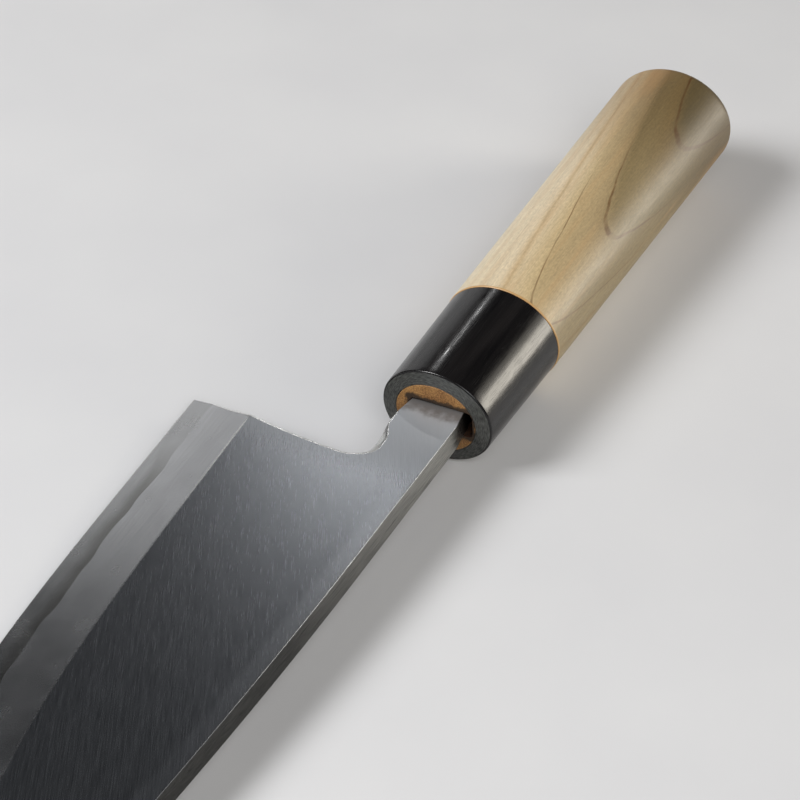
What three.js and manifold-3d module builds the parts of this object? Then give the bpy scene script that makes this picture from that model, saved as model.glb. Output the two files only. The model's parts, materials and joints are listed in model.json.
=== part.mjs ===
// Deba knife: a single-bevel fish knife with a pale wooden handle and a horn ferrule.
// Millimetres. In the knife's own frame X runs along the handle towards the tip, Y towards the
// spine and Z out of the bevelled face, from the middle of the ferrule's front face. At the end
// the knife is laid on a bench as it lies by itself, bevel up, with +Z up.
import * as THREE from 'three';
import { mergeVertices } from 'three/addons/utils/BufferGeometryUtils.js';
import Module from 'manifold-3d';

const wasm = await Module();
wasm.setup();

// Blade outline, seen from the bevelled face
const heelX = 14.3; // ferrule front to heel corner
const bladeLength = 172; // heel corner to tip
const heelDepth = 50.8; // heel corner below the handle's axis
const heelLean = 0.17; // forward lean of the heel line, per mm towards the spine
const edgeRise = 10.3; // steady rise of the edge from heel to tip
const bellyPower = 4.4; // how late the edge sweeps up
const spineHeight = 6.9; // spine above the handle's axis
const spineStraight = 45; // where the spine starts to fall
const tipDrop = 2.5; // tip below the handle's axis

// Grinds and lamination
const heelThickness = 5.8;
const tipThickness = 3;
const taperPower = 3;
const bevelWidth = 16.4; // at the heel
const bevelSpread = 2.4; // gained towards the tip
const flatFall = 0.034; // slope of the flat from spine down to ridge
const edgeLand = 0.15;
const steelThickness = 1.55;
const steelSetback = 3; // steel stops this far ahead of the choil
const steelBelowSpine = 8;
const weldLine = 0.05;
const weldWaves = [{ height: 0.16, length: 34, start: 0.6 }, { height: 0.1, length: 15, start: 2 }];

// Neck and tang
const neckDepth = 6.6;
const neckShoulder = 4.3; // the neck is drawn in from here to the ferrule
const neckRootDepth = 5.85;
const neckRootHeight = 6.25;
const neckBuried = 2;
const choilRadius = 4;
const tangLength = 85;
const tangRoot = { depth: 5.6, height: 5.9, thickness: 5.2 };
const tangEnd = { depth: 2.5, height: 2.5, thickness: 3 };

// Handle, oval in section: width runs from edge side to spine side
const handleLength = 126;
const ferruleLength = 30;
const front = { width: 25.4, thickness: 22.5 };
const joint = { width: 26.9, thickness: 23.8 };
const butt = { width: 30.5, thickness: 26.7 };
const tenon = { width: 18.4, thickness: 16.3 };
const ferruleRim = 0.8;
const buttRound = 3;
const mouthRoom = 2; // open space beside the tang, on its spine side
const mouthLength = 9;

// Fits
const tenonGap = 0.1;
const shoulderGap = 0.1;
const tangGap = 0.4;

// Drawing steps
const edgeSteps = 32;
const weldSteps = 60;
const ovalSides = 48;
const roundSteps = 5;
const cutOver = 10; // cutters run this far past what they cut
const touchStep = 24; // edge step that lies on the bench

const tipX = heelX + bladeLength;
const backZ = -heelThickness / 2;

function alongBlade(x) {
  return THREE.MathUtils.clamp((x - heelX) / bladeLength, 0, 1);
}

function edgeY(x) {
  const s = alongBlade(x);
  const sweep = heelDepth - edgeRise - tipDrop;
  return -heelDepth + edgeRise * s + sweep * s ** bellyPower;
}

function spineY(x) {
  const s = Math.max(0, (x - spineStraight) / (tipX - spineStraight));
  return spineHeight - (spineHeight + tipDrop) * s ** 2;
}

function heelLineX(y) {
  return heelX + heelLean * (y + heelDepth);
}

// Height of the ridge between bevel and flat, above the back face
function ridge(x) {
  const s = alongBlade(x);
  const y = edgeY(x) + bevelWidth + bevelSpread * s;
  const thickness = heelThickness - (heelThickness - tipThickness) * s ** taperPower;
  return { y, z: backZ + thickness - flatFall * (spineY(x) - y) };
}

// Top of the edge steel: a forge weld is never quite straight
function weldZ(x) {
  const wave = weldWaves.reduce(
    (sum, w) => sum + w.height * Math.sin((2 * Math.PI * x) / w.length + w.start), 0);
  return backZ + steelThickness + wave;
}

// Closed skin through rings of points that turn the right-hand way about +X, in rising X
function loft(rings) {
  const sides = rings[0].length;
  const index = [];
  for (let i = 0; i + 1 < rings.length; i += 1) {
    for (let j = 0; j < sides; j += 1) {
      const a = i * sides + j;
      const b = i * sides + ((j + 1) % sides);
      index.push(a, b, b + sides, a, b + sides, a + sides);
    }
  }
  const last = (rings.length - 1) * sides;
  for (let j = 1; j + 1 < sides; j += 1) {
    index.push(0, j + 1, j, last, last + j, last + j + 1);
  }
  const geometry = new THREE.BufferGeometry();
  const points = rings.flat().flatMap((p) => p.toArray());
  geometry.setAttribute('position', new THREE.Float32BufferAttribute(points, 3));
  geometry.setIndex(index);
  return geometry;
}

function boxRing(x, low, high, bottom, top) {
  const corners = [[low, bottom], [high, bottom], [high, top], [low, top]];
  return corners.map(([y, z]) => new THREE.Vector3(x, y, z));
}

function ovalRing(x, size, inset = 0) {
  return Array.from({ length: ovalSides }, (_, i) => {
    const turn = (2 * Math.PI * i) / ovalSides;
    const y = (size.width / 2 - inset) * Math.cos(turn);
    const z = (size.thickness / 2 - inset) * Math.sin(turn);
    return new THREE.Vector3(x, y, z);
  });
}

function solid(geometry) {
  geometry.deleteAttribute('normal');
  geometry.deleteAttribute('uv');
  const merged = mergeVertices(geometry, 1e-5);
  return new wasm.Manifold(new wasm.Mesh({
    numProp: 3,
    vertProperties: merged.attributes.position.array,
    triVerts: new Uint32Array(merged.index.array),
  }));
}

function piece(name, body, material) {
  const { vertProperties, triVerts } = body.getMesh();
  const geometry = new THREE.BufferGeometry();
  geometry.setAttribute('position', new THREE.Float32BufferAttribute(vertProperties, 3));
  geometry.setIndex(Array.from(triVerts));
  geometry.computeVertexNormals();
  const mesh = new THREE.Mesh(geometry, material);
  mesh.name = name;
  return mesh;
}

function edgePoint(step) {
  const x = heelX + (bladeLength * step) / edgeSteps;
  return new THREE.Vector3(x, edgeY(x), backZ);
}

// Forged outline of blade and neck: edge, tip, spine, neck, choil and heel
function bladeOutline() {
  const shape = new THREE.Shape();
  shape.moveTo(heelX, -heelDepth);
  for (let i = 1; i <= edgeSteps; i += 1) {
    const p = edgePoint(i);
    shape.lineTo(p.x, p.y);
  }
  for (let i = edgeSteps - 1; i >= 0; i -= 1) {
    const x = neckShoulder + ((tipX - neckShoulder) * i) / edgeSteps;
    shape.lineTo(x, spineY(x));
  }
  shape.lineTo(0, neckRootHeight);
  shape.lineTo(-neckBuried, neckRootHeight);
  shape.lineTo(-neckBuried, -neckRootDepth);
  shape.lineTo(0, -neckRootDepth);
  shape.lineTo(neckShoulder, -neckDepth);
  const choilY = -neckDepth - choilRadius;
  const choilX = heelLineX(choilY) - choilRadius * Math.hypot(1, heelLean);
  shape.absarc(choilX, choilY, choilRadius, Math.PI / 2, -Math.atan(heelLean), true);
  shape.closePath();
  return shape;
}

function extruded(shape, bottom, top) {
  const settings = { depth: top - bottom, bevelEnabled: false, curveSegments: 10 };
  return new THREE.ExtrudeGeometry(shape, settings).translate(0, 0, bottom);
}

// All that grinding takes off the upper side: above the bevel and above the tapering flat
function groundAway() {
  const top = heelThickness;
  const high = spineHeight + cutOver;
  const stations = [-neckBuried - cutOver];
  for (let i = 0; i <= edgeSteps; i += 1) {
    stations.push(edgePoint(i).x);
  }
  stations.push(tipX + cutOver);
  return loft(stations.map((x) => {
    const { y, z } = ridge(x);
    const low = edgeY(x) - cutOver;
    const bevelSlope = (z - backZ - edgeLand) / (y - edgeY(x));
    const section = [
      [y, z], [high, z + flatFall * (high - y)], [high, top],
      [low, top], [low, backZ + edgeLand - bevelSlope * cutOver],
    ];
    return section.map(([sy, sz]) => new THREE.Vector3(x, sy, sz));
  }));
}

function tang() {
  const ring = (x, size) => boxRing(x, -size.depth, size.height, -size.thickness / 2, size.thickness / 2);
  return loft([ring(-tangLength, tangEnd), ring(neckBuried, tangRoot)]);
}

// Room for the edge steel, grown by the given gap on the sides that meet the cladding
function steelBed(gap) {
  const upper = spineHeight - steelBelowSpine + gap;
  const lower = -heelDepth - cutOver;
  const cornerY = -neckDepth - choilRadius - steelSetback + gap;
  const cornerX = heelLineX(cornerY) + steelSetback - gap;
  const reach = new THREE.Shape();
  reach.moveTo(heelX - cutOver, lower);
  reach.lineTo(tipX + cutOver, lower);
  reach.lineTo(tipX + cutOver, upper);
  reach.lineTo(heelLineX(upper) + steelSetback - gap, upper);
  reach.lineTo(cornerX, cornerY);
  reach.lineTo(heelX - cutOver, cornerY);
  reach.closePath();
  const bottom = backZ - cutOver;
  const rings = [];
  for (let i = 0; i <= weldSteps; i += 1) {
    const x = heelX - cutOver + ((bladeLength + 2 * cutOver) * i) / weldSteps;
    rings.push(boxRing(x, lower, upper + cutOver, bottom, weldZ(x) + gap));
  }
  return solid(loft(rings)).intersect(solid(extruded(reach, bottom, heelThickness)));
}

// Oval turned body: each stop gives its X, its size and how far it is drawn in
function ovalBody(stops) {
  return solid(loft(stops.map(({ x, size, inset }) => ovalRing(x, size, inset))));
}

function hornFerrule() {
  const shell = ovalBody([
    { x: -ferruleLength, size: joint },
    { x: -ferruleRim, size: front },
    { x: 0, size: front, inset: ferruleRim },
  ]);
  const bore = ovalBody([
    { x: -ferruleLength - cutOver, size: tenon, inset: -tenonGap },
    { x: cutOver, size: tenon, inset: -tenonGap },
  ]);
  return shell.subtract(bore);
}

// Tang slot: a snug taper, with a wider mouth that stays open on the spine side
function tangSlot() {
  const ring = (x, size) => boxRing(x, -size.depth - tangGap, size.height + tangGap,
    -size.thickness / 2 - tangGap, size.thickness / 2 + tangGap);
  const taper = loft([ring(-tangLength - tangGap, tangEnd), ring(neckBuried, tangRoot)]);
  const side = heelThickness / 2 + tangGap;
  const low = -neckRootDepth - tangGap;
  const high = neckRootHeight + mouthRoom;
  const mouth = loft([boxRing(-mouthLength, low, high, -side, side), boxRing(cutOver, low, high, -side, side)]);
  return solid(taper).add(solid(mouth));
}

function woodenGrip() {
  const stops = [];
  for (let i = 0; i <= roundSteps; i += 1) {
    const turn = (Math.PI / 2) * (1 - i / roundSteps);
    const x = -handleLength + buttRound * (1 - Math.cos(turn));
    stops.push({ x, size: butt, inset: buttRound * (1 - Math.sin(Math.PI / 2 - turn)) });
  }
  stops.push({ x: -ferruleLength - shoulderGap, size: joint });
  const core = ovalBody([{ x: -ferruleLength - cutOver, size: tenon }, { x: 0, size: tenon }]);
  return ovalBody(stops).add(core).subtract(tangSlot());
}

function steel(color, roughness) {
  return new THREE.MeshStandardMaterial({ color, roughness, metalness: 1 });
}

function natural(color, roughness) {
  return new THREE.MeshStandardMaterial({ color, roughness, metalness: 0 });
}

const blank = solid(extruded(bladeOutline(), backZ, heelThickness));
const blade = blank.subtract(solid(groundAway()));

const knife = new THREE.Group();
knife.add(
  piece('blade_cladding', blade.subtract(steelBed(weldLine)).add(solid(tang())), steel(0x9a9fa6, 0.38)),
  piece('edge_steel', blade.intersect(steelBed(0)), steel(0xb9bcb8, 0.3)),
  piece('horn_ferrule', hornFerrule(), natural(0x17161a, 0.35)),
  piece('wooden_grip', woodenGrip(), natural(0xd9bd92, 0.6)),
);

// The knife lies on the underside of its ferrule's rim and on the belly of its edge
const touch = edgePoint(touchStep);
const alongEdge = edgePoint(touchStep + 1).sub(touch);
const rimTouch = new THREE.Vector3(-ferruleRim, 0, -front.thickness / 2);
const benchUp = alongEdge.cross(rimTouch.sub(touch)).normalize();
knife.quaternion.setFromUnitVectors(benchUp, new THREE.Vector3(0, 0, 1));

// Stand the model's origin on the bench, under the middle of its box
const deba = new THREE.Group();
deba.add(knife);
deba.updateMatrixWorld(true);
const box = new THREE.Box3().setFromObject(deba, true);
const middle = box.getCenter(new THREE.Vector3());
knife.position.set(-middle.x, -middle.y, -box.min.z);

export default deba;
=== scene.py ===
import json
import math

import bmesh
import bpy
from mathutils import Matrix, Vector
from mathutils.geometry import delaunay_2d_cdt


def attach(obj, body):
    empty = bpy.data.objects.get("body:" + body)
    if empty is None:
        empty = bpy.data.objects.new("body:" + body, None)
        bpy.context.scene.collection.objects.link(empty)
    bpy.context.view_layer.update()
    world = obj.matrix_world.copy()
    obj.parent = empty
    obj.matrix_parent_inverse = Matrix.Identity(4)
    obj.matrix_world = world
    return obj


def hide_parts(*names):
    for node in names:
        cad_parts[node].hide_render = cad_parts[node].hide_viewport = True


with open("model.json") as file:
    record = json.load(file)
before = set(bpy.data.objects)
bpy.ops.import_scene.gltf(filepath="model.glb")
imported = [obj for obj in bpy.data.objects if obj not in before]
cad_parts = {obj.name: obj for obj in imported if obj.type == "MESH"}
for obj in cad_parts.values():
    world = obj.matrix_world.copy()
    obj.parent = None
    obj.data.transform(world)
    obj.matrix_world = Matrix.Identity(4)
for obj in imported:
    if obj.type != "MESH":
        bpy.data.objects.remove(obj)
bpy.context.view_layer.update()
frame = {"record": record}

mm = 0.001

# How the knife lies: the flat back's mount gives the turn and the place.
# Knife frame: X to the tip, Y to the spine, Z out of the bevel, from the middle of the ferrule's front.
resting = {"mount": "blade_back", "mountPoint": (80, -22, -2.9)}


def layMatrix():
    mount = next(m for m in frame["record"]["mounts"] if m["name"] == resting["mount"])
    turn = Vector((0, 0, 1)).rotation_difference(-Vector(mount["axis"])).to_matrix().to_4x4()
    place = Vector(mount["pos_m"]) - turn @ (Vector(resting["mountPoint"]) * mm)
    return Matrix.Translation(place) @ turn


lay = layMatrix()

# Blade, in millimetres
blade = {
    "heelX": 14.3, "length": 172, "heelDepth": 50.8, "heelLean": 0.17, "heelBend": 0.0035, "bendFrom": -30,
    "edgeRise": 10.3, "bellyPower": 4.4,
    "spineHeight": 6.9, "spineStraight": 45, "tipDrop": 2.5,
    "heelThick": 5.8, "tipThick": 3, "taperPower": 3,
    "bevelWidth": 16.4, "bevelSpread": 2.4, "flatFall": 0.034, "land": 0.06,
    "ridgeFacet": (0.3, 0.05),  # below and above the ridge
    # the weld's ripples: height, length, start
    "waves": ((0.07, 34, 0.6), (0.055, 13, 2.0), (0.02, 7.1, 1.1)),
    # the steel's bed: how far in from heel and spine, its cut corner, and how it ends under the spine
    "steelThick": 1.55, "steelSetback": 3, "steelBelowSpine": 8, "bedCorner": (2, 5), "bedRim": 0.9,
    "bedStop": 4, "bedEnd": (-0.03, -0.6),
    # eased edges: their widths, the run from the tip where they start, the share of the iron that they
    # may take, and the shares of neck and arc over which the choil's chamfer swells and shrinks
    "spineEase": 0.12, "choilRound": 2.2, "heelEase": 0.5, "backEase": 0.3, "steelEase": 0.1,
    "easeRun": (8, 40), "easeShare": 0.35, "choilSwell": (0.3, 0.8), "choilShrink": (0, 0.7),
    "hollow": 0.4, "hollowRim": 1.2, "hollowRun": 11, "hollowGrid": 2.6, "hollowClear": 0.5,
    # mesh: a support row beside each edge, the narrowest mitre, where lines may reach the spine, counted
    # from the tip, steps along each line, and crease angles in degrees
    "support": 0.12, "mitre": 0.35, "tipSearch": (60, 0.5), "roundSteps": 6, "edgeSteps": 130,
    "spineSteps": 120, "heelSteps": 30, "choilSteps": 12, "arcSteps": 16, "lineSteps": 150, "lineFade": 3,
    "bedSteps": 40, "ironCrease": 32, "steelCrease": 14,
}
neck = {
    "depth": 6.6, "shoulder": 4.3, "rootDepth": 5.85, "rootHeight": 6.25, "buried": 2, "choilRadius": 4,
    # the tang: the step down to it, its length, and depth, height and thickness at both ends
    "tangStep": 1, "tangLength": 85, "tangRoot": (5.6, 5.9, 5.2), "tangEnd": (2.5, 2.5, 3.0),
}
tipX = blade["heelX"] + blade["length"]
backZ = -blade["heelThick"] / 2


def alongBlade(x):
    return min(1.0, max(0.0, (x - blade["heelX"]) / blade["length"]))


def edgeY(x):
    s = alongBlade(x)
    sweep = blade["heelDepth"] - blade["edgeRise"] - blade["tipDrop"]
    return -blade["heelDepth"] + blade["edgeRise"] * s + sweep * s ** blade["bellyPower"]


def spineY(x):
    s = max(0.0, (x - blade["spineStraight"]) / (tipX - blade["spineStraight"]))
    return blade["spineHeight"] - (blade["spineHeight"] + blade["tipDrop"]) * s ** 2


def heelLineX(y):
    bend = blade["heelBend"] * max(0.0, y - blade["bendFrom"]) ** 2
    return blade["heelX"] + blade["heelLean"] * (y + blade["heelDepth"]) - bend


def heelSlope(y):
    return blade["heelLean"] - 2 * blade["heelBend"] * max(0.0, y - blade["bendFrom"])


def ridgeY(x):
    return edgeY(x) + blade["bevelWidth"] + blade["bevelSpread"] * alongBlade(x)


def ridgeZ(x):
    taper = (blade["heelThick"] - blade["tipThick"]) * alongBlade(x) ** blade["taperPower"]
    thick = blade["heelThick"] - taper
    return backZ + thick - blade["flatFall"] * (spineY(x) - ridgeY(x))


def bevelSlope(x):
    return (ridgeZ(x) - backZ - blade["land"]) / (ridgeY(x) - edgeY(x))


def weldZ(x):
    ripple = sum(h * math.sin(2 * math.pi * x / length + start) for h, length, start in blade["waves"])
    return backZ + blade["steelThick"] + ripple


def weldY(x):
    return edgeY(x) + (weldZ(x) - backZ - blade["land"]) / bevelSlope(x)


def tangThick(x):
    share = min(1.0, max(0.0, -x / neck["tangLength"]))
    return neck["tangRoot"][2] + (neck["tangEnd"][2] - neck["tangRoot"][2]) * share


# Height of the upper side: the lower of bevel and flat, and the thinner tang behind the neck
def topZ(x, y):
    if x < -neck["buried"]:
        return tangThick(x) / 2
    flat = ridgeZ(x) + blade["flatFall"] * (y - ridgeY(x))
    if x < blade["heelX"]:
        return flat
    bevel = backZ + blade["land"] + bevelSlope(x) * (y - edgeY(x))
    return min(flat, bevel)


def lowZ(x):
    return -tangThick(x) / 2 if x < -neck["buried"] else backZ


# Where a gap between two lines closes, by halving
def solve(gap, low, high, halvings=60):
    for _ in range(halvings):
        middle = (low + high) / 2
        if gap(low) * gap(middle) <= 0:
            high = middle
        else:
            low = middle
    return (low + high) / 2


def smooth(value, low, high):
    t = min(1.0, max(0.0, (value - low) / (high - low)))
    return t * t * (3 - 2 * t)


# Collects faces as lists of points, then welds them into one closed mesh
class Skin:
    def __init__(self, name):
        self.name = name
        self.faces = []
        self.creases = set()

    def face(self, points, finish=0):
        self.faces.append(([tuple(p) for p in points], finish))

    def crease(self, points):
        self.creases.update(pointKey(p) for p in points)

    def make(self, materials, creaseAngle, layout=None):
        mesh = bmesh.new()
        for points, finish in self.faces:
            made = mesh.faces.new([mesh.verts.new(Vector(p) * mm) for p in points])
            made.material_index = finish
            made.smooth = True
        bmesh.ops.remove_doubles(mesh, verts=mesh.verts, dist=0.002 * mm)
        bmesh.ops.dissolve_degenerate(mesh, edges=mesh.edges, dist=0.001 * mm)
        bmesh.ops.recalc_face_normals(mesh, faces=mesh.faces)
        for edge in mesh.edges:
            onCrease = all(pointKey(v.co / mm) in self.creases for v in edge.verts)
            edge.smooth = not onCrease and edge.calc_face_angle(0) < math.radians(creaseAngle)
        writeMap(mesh, "knifePlace", lambda p: p * mm)
        if layout:
            writeMap(mesh, "bladeMap", layout)
        bmesh.ops.transform(mesh, matrix=lay, verts=mesh.verts)
        for vert in mesh.verts:
            vert.co.z = max(vert.co.z, 0.0)  # nothing dips below the bench
        data = bpy.data.meshes.new(self.name)
        mesh.to_mesh(data)
        mesh.free()
        for material in materials:
            data.materials.append(material)
        piece = bpy.data.objects.new(self.name, data)
        bpy.context.scene.collection.objects.link(piece)
        return piece


# Points that agree to a hundredth of a millimetre count as one
def pointKey(p):
    return tuple(round(c, 2) for c in p)


# A vector for each point that the materials read
def writeMap(mesh, name, layout):
    layer = mesh.verts.layers.float_vector.new(name)
    for v in mesh.verts:
        v[layer] = layout(v.co / mm)


# Distances in mm from spine, edge and weld line
def bladeMap(p):
    x = max(p.x, blade["heelX"])
    return (spineY(p.x) - p.y, p.y - edgeY(x), p.y - weldY(x))


def insidePolygon(point, polygon):
    inside = False
    x, y = point
    for (x0, y0), (x1, y1) in zip(polygon, polygon[1:] + polygon[:1]):
        if (y0 > y) != (y1 > y) and x < x0 + (y - y0) * (x1 - x0) / (y1 - y0):
            inside = not inside
    return inside


# Fills a plan outline with triangles that keep the given lines and loose points
def fillPlan(outline, lines=(), loose=()):
    points = [tuple(p) for p in outline]
    edges = [(i, (i + 1) % len(points)) for i in range(len(points))]
    index = {pointKey(p): i for i, p in enumerate(points)}
    for line in lines:
        before = None
        for p in line:
            key = pointKey(p)
            if key not in index:
                index[key] = len(points)
                points.append(tuple(p))
            if before is not None and before != index[key]:
                edges.append((before, index[key]))
            before = index[key]
    points.extend(tuple(p) for p in loose)
    made, _, faces, *_ = delaunay_2d_cdt([Vector(p) for p in points], edges, [], 1, 1e-6)
    return [[(made[i].x, made[i].y) for i in f] for f in faces]


def bladeOutline():
    b, n = blade, neck
    points = []  # x, y, ease on the upper side, ease on the back

    def put(x, y, ease, backEase):
        points.append((x, y, ease, backEase))

    for i in range(b["edgeSteps"] + 1):
        x = b["heelX"] + b["length"] * i / b["edgeSteps"]
        put(x, edgeY(x), 0, 0)
    tip = len(points) - 1
    searched = [tipX - back for back in b["tipSearch"]]
    ridgeEnd = solve(lambda x: ridgeY(x) - spineY(x), *searched)
    weldEnd = solve(lambda x: weldY(x) - spineY(x), *searched)
    stops = [tipX + (n["shoulder"] - tipX) * i / b["spineSteps"] for i in range(1, b["spineSteps"] + 1)]
    for special in (ridgeEnd, weldEnd):
        nearest = min(range(len(stops)), key=lambda i: abs(stops[i] - special))
        stops[nearest] = special
    marks = {}
    for x in stops:
        if x == ridgeEnd:
            marks["ridgeEnd"] = len(points)
        if x == weldEnd:
            marks["weldEnd"] = len(points)
        fade = smooth(tipX - x, *b["easeRun"])
        put(x, spineY(x), b["spineEase"] * fade, b["backEase"] * fade)
    root, end = n["tangRoot"], n["tangEnd"]
    put(0, n["rootHeight"], b["spineEase"], b["backEase"])
    put(-n["buried"], n["rootHeight"], b["backEase"], b["backEase"])
    put(-n["buried"] - n["tangStep"], root[1], b["backEase"], b["backEase"])
    put(-n["tangLength"], end[1], b["backEase"], b["backEase"])
    put(-n["tangLength"], -end[0], b["backEase"], b["backEase"])
    put(-n["buried"] - n["tangStep"], -root[0], b["backEase"], b["backEase"])
    put(-n["buried"], -n["rootDepth"], b["backEase"], b["backEase"])
    put(0, -n["rootDepth"], b["spineEase"], b["backEase"])
    arcY = -n["depth"] - n["choilRadius"]
    last = -math.atan(heelSlope(arcY))
    arcX = heelLineX(arcY + n["choilRadius"] * math.sin(last)) - n["choilRadius"] * math.cos(last)
    marks["choil"] = len(points)
    for i in range(b["choilSteps"] + 1):
        share = i / b["choilSteps"]
        x = n["shoulder"] + (arcX - n["shoulder"]) * share
        swell = (b["choilRound"] - b["spineEase"]) * smooth(share, *b["choilSwell"])
        put(x, -n["depth"], b["spineEase"] + swell, b["backEase"])
    for i in range(1, b["arcSteps"] + 1):
        turn = math.pi / 2 + (last - math.pi / 2) * i / b["arcSteps"]
        x, y = arcX + n["choilRadius"] * math.cos(turn), arcY + n["choilRadius"] * math.sin(turn)
        shrink = (b["choilRound"] - b["heelEase"]) * smooth(i / b["arcSteps"], *b["choilShrink"])
        put(x, y, b["choilRound"] - shrink, b["backEase"])
    top = points[-1][1]
    ridgeStart = solve(lambda y: ridgeY(heelLineX(y)) - y, -b["heelDepth"], top)
    weldStart = solve(lambda y: weldY(heelLineX(y)) - y, -b["heelDepth"], ridgeStart)
    steelStart = top - b["steelSetback"]
    rows = [top + (-b["heelDepth"] - top) * i / b["heelSteps"] for i in range(1, b["heelSteps"])]
    for name, special in (("ridgeStart", ridgeStart), ("weldStart", weldStart), ("steelStart", steelStart)):
        nearest = min(range(len(rows)), key=lambda i: abs(rows[i] - special))
        rows[nearest] = special
        marks[name] = len(points) + nearest
    for y in rows:
        x = heelLineX(y)
        room = max(0.0, topZ(x, y) - weldZ(x))
        ease = min(b["heelEase"], b["easeShare"] * room) if y > weldStart else 0
        put(x, y, ease, b["backEase"] if y > steelStart else b["steelEase"])
    marks["tip"] = tip
    return points, marks


# Loops round the outline: inset and drop of each row of points, from the upper flat to the back flat
def wallColumns(points):
    b = blade
    count = len(points)
    columns = []
    for i in range(count):
        x, y, ease, backEase = points[i]
        before, after = Vector(points[i - 1][:2]), Vector(points[(i + 1) % count][:2])
        here = Vector((x, y))
        d0, d1 = (here - before).normalized(), (after - here).normalized()
        n0, n1 = Vector((-d0.y, d0.x)), Vector((-d1.y, d1.x))
        inward = (n0 + n1).normalized()
        inward /= max(b["mitre"], inward.dot(n0))

        def at(inset):
            return here + inward * inset

        column = []
        flat = at(ease + b["support"])
        column.append((flat.x, flat.y, topZ(flat.x, flat.y)))
        for k in range(b["roundSteps"] + 1):
            turn = math.pi / 2 * (1 - k / b["roundSteps"])
            p = at(ease * (1 - math.cos(turn)))
            column.append((p.x, p.y, topZ(p.x, p.y) - ease * (1 - math.sin(turn))))
        wallTop = len(column) - 1
        for k in range(b["roundSteps"] + 1):
            turn = math.pi / 2 * k / b["roundSteps"]
            p = at(backEase * (1 - math.cos(turn)))
            column.append((p.x, p.y, lowZ(p.x) + backEase * (1 - math.sin(turn))))
        flat = at(backEase + b["support"])
        column.append((flat.x, flat.y, lowZ(flat.x)))
        columns.append((column, wallTop))
    return columns


bevelFinish, flatFinish, wallFinish, backFinish, rubbedGlintFinish = range(5)


# Wall faces between two columns, with the finish of the eased upper edge
def stitch(skin, left, right, edgeFinish, eased=blade["roundSteps"] + 1):
    for k in range(len(left) - 1):
        finish = edgeFinish if k < eased else wallFinish
        skin.face((left[k], left[k + 1], right[k + 1], right[k]), finish)


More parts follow.
